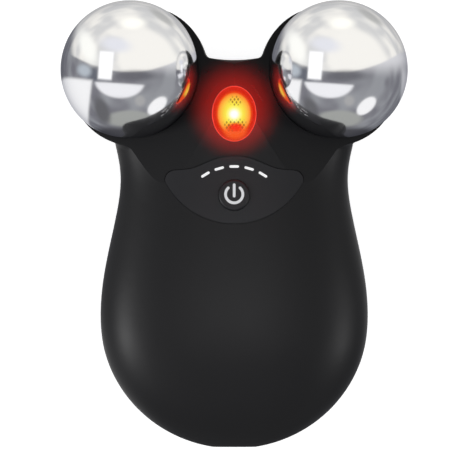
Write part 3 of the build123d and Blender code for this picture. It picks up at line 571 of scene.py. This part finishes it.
# ---- studio ---------------------------------------------------------------------------------
def studio_world(strength):
    """A studio as a mirror ball shows it: x and y run to the horizon at 0.71 from the zenith."""
    world = bpy.data.worlds.new("studio")
    bpy.context.scene.world = world
    world.use_nodes = True
    tree = world.node_tree
    tree.nodes.clear()
    way = add_node(tree, "ShaderNodeTexCoord").outputs["Generated"]
    split = add_node(tree, "ShaderNodeSeparateXYZ", inputs={"Vector": way})
    raised = add_node(tree, "ShaderNodeMath", {"operation": "MULTIPLY_ADD"}, {
        0: split.outputs["Z"], 1: 2.0, 2: 2.0001,
    })
    stretch = add_node(tree, "ShaderNodeMath", {"operation": "INVERSE_SQRT"}, {
        0: raised.outputs["Value"],
    })
    dome = add_node(tree, "ShaderNodeVectorMath", {"operation": "SCALE"}, {
        0: way, "Scale": stretch.outputs["Value"],
    }).outputs["Vector"]
    across = add_node(tree, "ShaderNodeSeparateXYZ", inputs={"Vector": dome})

    def oval_card(place, half, turn, softness):
        """Mask of a round or oval light."""
        return oval(tree, dome, place, half, turn, softness)

    def square_card(place, half, turn, softness):
        """Mask of a square light."""
        size = add_node(tree, "ShaderNodeVectorMath", {"operation": "ABSOLUTE"}, {
            0: local_place(tree, dome, place, half, turn),
        })
        sides = add_node(tree, "ShaderNodeSeparateXYZ", inputs={
            "Vector": size.outputs["Vector"],
        })
        reach = add_node(tree, "ShaderNodeMath", {"operation": "MAXIMUM"}, {
            0: sides.outputs["X"], 1: sides.outputs["Y"],
        })
        return soft_edge(tree, reach.outputs["Value"], softness)

    # the ceiling ends at a line that rises to both sides, and short of the horizon
    bend = add_node(tree, "ShaderNodeMath", {"operation": "MULTIPLY"}, {
        0: across.outputs["X"], 1: across.outputs["X"],
    })
    line = add_node(tree, "ShaderNodeMath", {"operation": "MULTIPLY_ADD"}, {
        0: bend.outputs["Value"], 1: -0.37, 2: across.outputs["Y"],
    })
    above = add_node(tree, "ShaderNodeMapRange", {"interpolation_type": "SMOOTHSTEP"}, {
        "Value": line.outputs["Value"], "From Min": -0.06, "From Max": -0.03,
        "To Min": 0.0, "To Max": 1.0,
    }).outputs["Result"]

    def both(first, second):
        """Mask that is 1 where both masks are."""
        return add_node(tree, "ShaderNodeMath", {"operation": "MULTIPLY"}, {
            0: first, 1: second,
        }).outputs["Value"]

    ceiling = both(above, oval_card((0.06, 0.3), (0.88, 0.85), 0, 0.05))
    cloth = add_node(tree, "ShaderNodeTexNoise", inputs={
        "Vector": dome, "Scale": 2.6, "Detail": 1.0, "Distortion": 0.3,
    })
    cloth_tone = between(tree, cloth.outputs["Fac"], 0.0, 1.0, reach=(0.38, 0.62))
    ceiling_tone = laid_on(tree, (0.72, 0.72, 0.71, 1), cloth_tone, (1.0, 0.98, 0.92, 1))
    dark_wall = laid_on(tree, (0.2, 0.2, 0.225, 1), cloth_tone, (0.32, 0.33, 0.35, 1))
    light_wall = oval_card((0.6, 0.75), (1.0, 0.75), 0, 0.2)
    walls = laid_on(tree, dark_wall, light_wall, (0.74, 0.74, 0.76, 1))
    shade = laid_on(tree, walls, ceiling, ceiling_tone)
    cream = both(above, oval_card((0.25, 0.14), (0.45, 0.4), -38, 0.15))
    crescent = both(
        oval_card((-0.14, -0.17), (0.36, 0.25), -4, 0.08),
        square_card((-0.14, -0.51), (0.6, 0.3), -4, 0.05),
    )
    lights = (
        (cream, (1.02, 1.0, 0.94, 1)),
        (oval_card((0.04, 0.66), (0.17, 0.08), 0, 0.5), (1.2, 1.18, 1.08, 1)),
        (oval_card((-0.6, 0.32), (0.1, 0.26), 20, 0.5), (1.1, 1.1, 1.04, 1)),
        (oval_card((-0.2, 0.35), (0.2, 0.1), -10, 0.6), (0.86, 0.87, 0.92, 1)),
        (oval_card((0.45, 0.76), (0.2, 0.05), -35, 0.5), (0.56, 0.56, 0.54, 1)),
        (oval_card((0.1, -0.1), (0.3, 0.07), 0, 0.6), (0.15, 0.15, 0.17, 1)),
        (oval_card((-0.5, -0.08), (0.12, 0.1), 0, 0.5), (0.13, 0.14, 0.17, 1)),
        (oval_card((-0.65, -0.02), (0.1, 0.08), -30, 0.5), (0.5, 0.55, 0.6, 1)),
        (oval_card((0.0, -0.72), (0.34, 0.12), 0, 0.2), (0.38, 0.39, 0.37, 1)),
        (oval_card((-0.4, -0.6), (0.1, 0.2), 20, 0.4), (0.14, 0.14, 0.15, 1)),
        (square_card((-0.34, 0.05), (0.1, 0.2), -5, 0.1), (1.2, 1.2, 1.2, 1)),
        (crescent, (0.95, 0.95, 0.97, 1)),
        (oval_card((0.4, -0.53), (0.17, 0.09), 42, 0.12), (1.0, 1.0, 1.0, 1)),
        (oval_card((0.15, -0.46), (0.075, 0.075), 0, 0.4), (0.42, 0.42, 0.42, 1)),
        (square_card((-0.84, -0.44), (0.26, 0.32), -8, 0.1), (1.0, 1.0, 1.0, 1)),
        (square_card((0.97, -0.3), (0.06, 0.34), 0, 0.4), (0.66, 0.66, 0.68, 1)),
        (square_card((0.0, -1.0), (0.8, 0.16), 0, 0.3), (0.08, 0.08, 0.09, 1)),
    )
    for mask, colour in lights:
        shade = laid_on(tree, shade, mask, colour)

    # the camera sees plain white, matt surfaces a plain even dome, gloss the studio itself
    path = add_node(tree, "ShaderNodeLightPath")
    mirrored = add_node(tree, "ShaderNodeMath", {"operation": "MAXIMUM"}, {
        0: path.outputs["Is Glossy Ray"], 1: path.outputs["Is Transmission Ray"],
    })
    even = laid_on(tree, (0.85, 0.85, 0.86, 1), mirrored.outputs["Value"], shade)
    seen = laid_on(tree, even, path.outputs["Is Camera Ray"], (1, 1, 1, 1))
    background = add_node(tree, "ShaderNodeBackground", inputs={
        "Color": seen, "Strength": strength,
    })
    output = add_node(tree, "ShaderNodeOutputWorld")
    tree.links.new(background.outputs["Background"], output.inputs["Surface"])


def add_lamp(lamp, place, plastic, glossy=True):
    """Hangs a lamp at place, for the plastic only."""
    holder = bpy.data.objects.new(lamp.name, lamp)
    holder.location = place
    holder.visible_glossy = glossy
    holder.visible_camera = False
    holder.light_linking.receiver_collection = plastic
    bpy.context.scene.collection.objects.link(holder)
    return holder


def add_square_lamp(name, place, aim, size, power, plastic, colour=(1, 1, 1), glossy=True):
    """A square lamp at place that points at aim."""
    lamp = bpy.data.lights.new(name, "AREA")
    lamp.size, lamp.energy, lamp.color = size, power, colour
    holder = add_lamp(lamp, place, plastic, glossy)
    holder.rotation_mode = "QUATERNION"
    holder.rotation_quaternion = (Vector(aim) - Vector(place)).to_track_quat("-Z", "Y")


def add_round_lamp(name, place, angle, power, radius, plastic, colour=(1, 1, 1), glossy=True):
    """A round lamp at place that points straight down and fades to the edge of its cone."""
    lamp = bpy.data.lights.new(name, "SPOT")
    lamp.energy, lamp.color, lamp.shadow_soft_size = power, colour, radius
    lamp.spot_size, lamp.spot_blend = radians(angle), 1.0
    return add_lamp(lamp, place, plastic, glossy)


def white_floor():
    """Makes the floor: matt white that the camera sees as white, with the part's shadow."""
    half, drop, lift = 6.0, 0.02 * MM, 0.72
    material, tree, output, place = new_material("white_floor")
    tone = add_node(tree, "ShaderNodeTexNoise", inputs={
        "Vector": place, "Scale": 3.0, "Detail": 1.0,
    })
    white = laid_on(tree, linear("#dededf"), tone.outputs["Fac"], linear("#e2e2e2"))
    matt = add_node(tree, "ShaderNodeBsdfDiffuse", inputs={"Color": white})
    path = add_node(tree, "ShaderNodeLightPath")
    seen = add_node(tree, "ShaderNodeMath", {"operation": "MULTIPLY"}, {
        0: path.outputs["Is Camera Ray"], 1: lift,
    })
    glow = add_node(tree, "ShaderNodeEmission", inputs={
        "Color": (1, 1, 1, 1), "Strength": seen.outputs["Value"],
    })
    both = add_node(tree, "ShaderNodeAddShader", inputs={
        0: matt.outputs["BSDF"], 1: glow.outputs["Emission"],
    })
    tree.links.new(both.outputs["Shader"], output.inputs["Surface"])
    corners = [(x * half, y * half, -drop) for x, y in ((-1, -1), (1, -1), (1, 1), (-1, 1))]
    mesh = bpy.data.meshes.new("floor")
    mesh.from_pydata(corners, [], [(0, 1, 2, 3)])
    mesh.materials.append(material)
    floor = bpy.data.objects.new("floor", mesh)
    bpy.context.scene.collection.objects.link(floor)
    floor.visible_glossy = False


def plastic_lamps(plastic):
    """Hangs a lamp at each side and one over the belly that fades to the cups and the tail."""
    middle, side_size = (0, 0, 0.02), 0.18
    add_square_lamp("left_light", (-0.46, -0.1, 0.22), middle, side_size, 4.0, plastic)
    add_square_lamp("right_light", (0.46, -0.1, 0.22), middle, side_size, 2.1, plastic)
    add_round_lamp("belly_light", (6 * MM, -12 * MM, 0.5), 16, 3.7, 0.05, plastic)


def window_lamps(plastic, power):
    """Hangs the lamps that stand for the window's light on the cups and the saddle."""
    red = linear("#ff1a06")[:3]
    over = Vector((window_centre.x, window_centre.y, window_high.z))
    up = Vector((0, 0, 1))
    spill_height, spill_size, spill_share = 0.3 * MM, 7 * MM, 3.2
    place = over + spill_height * up
    add_square_lamp(
        "window_spill", place, place + up, spill_size, spill_share * power, plastic, red,
        glossy=False,
    )
    halo_height, halo_shift, halo_angle = 60 * MM, 0.9 * MM, 17.5
    halo_share, halo_radius = 190, 2 * MM
    halo = add_round_lamp(
        "window_halo", over + Vector((0, halo_shift, halo_height)), halo_angle,
        halo_share * power, halo_radius, plastic, red, glossy=False,
    )
    halo.scale = (1.0, 1.1, 1.0)


def overhead_camera():
    """Puts the camera straight above, far away, with a little air round the outline."""
    view_width, camera_height, sensor = 99.45 * MM, 2.0, 36.0
    outline_height = 22 * MM
    aside, along = 0.17 * MM, 5.1 * MM
    camera = bpy.data.cameras.new("camera")
    camera.sensor_width = sensor
    camera.lens = sensor * (camera_height - outline_height) / view_width
    camera.clip_start, camera.clip_end = 0.05, 20.0
    holder = bpy.data.objects.new("camera", camera)
    holder.location = (aside, along, camera_height)
    scene = bpy.context.scene
    scene.collection.objects.link(holder)
    scene.camera = holder
    scene.view_settings.view_transform = "Standard"


class TONING_OT_stage(bpy.types.Operator):
    """Make the floor, studio, lamps and camera"""

    bl_idname = "toning.stage"
    bl_label = "Stage"

    def execute(self, context):
        settings = context.scene.toning_device
        studio_world(settings.studio_light)
        white_floor()
        plastic = bpy.data.collections.new("plastic_lit_from_the_sides")
        for name in ("front_shell", "rear_shell", "control_panel", "power_button_cap"):
            plastic.objects.link(nodes[name])
        plastic_lamps(plastic)
        window_lamps(plastic, settings.glow_power)
        overhead_camera()
        return {"FINISHED"}


OPERATORS = (
    TONING_OT_housing,
    TONING_OT_balls,
    TONING_OT_panel,
    TONING_OT_window,
    TONING_OT_hardware,
    TONING_OT_stage,
)


class TONING_PT_sidebar(bpy.types.Panel):
    bl_idname = "TONING_PT_sidebar"
    bl_label = "Facial Toning Device"
    bl_space_type = "VIEW_3D"
    bl_region_type = "UI"
    bl_category = "Toning Device"

    def draw(self, context):
        settings = context.scene.toning_device
        for name in ToningDeviceSettings.__annotations__:
            self.layout.prop(settings, name)
        for operator in OPERATORS:
            self.layout.operator(operator.bl_idname)


CLASSES = (ToningDeviceSettings, *OPERATORS, TONING_PT_sidebar)


def register():
    for cls in CLASSES:
        bpy.utils.register_class(cls)
    bpy.types.Scene.toning_device = PointerProperty(type=ToningDeviceSettings)


def unregister():
    del bpy.types.Scene.toning_device
    for cls in reversed(CLASSES):
        bpy.utils.unregister_class(cls)


def main():
    register()
    bpy.ops.toning.housing()
    bpy.ops.toning.balls()
    bpy.ops.toning.panel()
    bpy.ops.toning.window()
    bpy.ops.toning.hardware()
    bpy.ops.toning.stage()


if __name__ == "__main__":
    main()
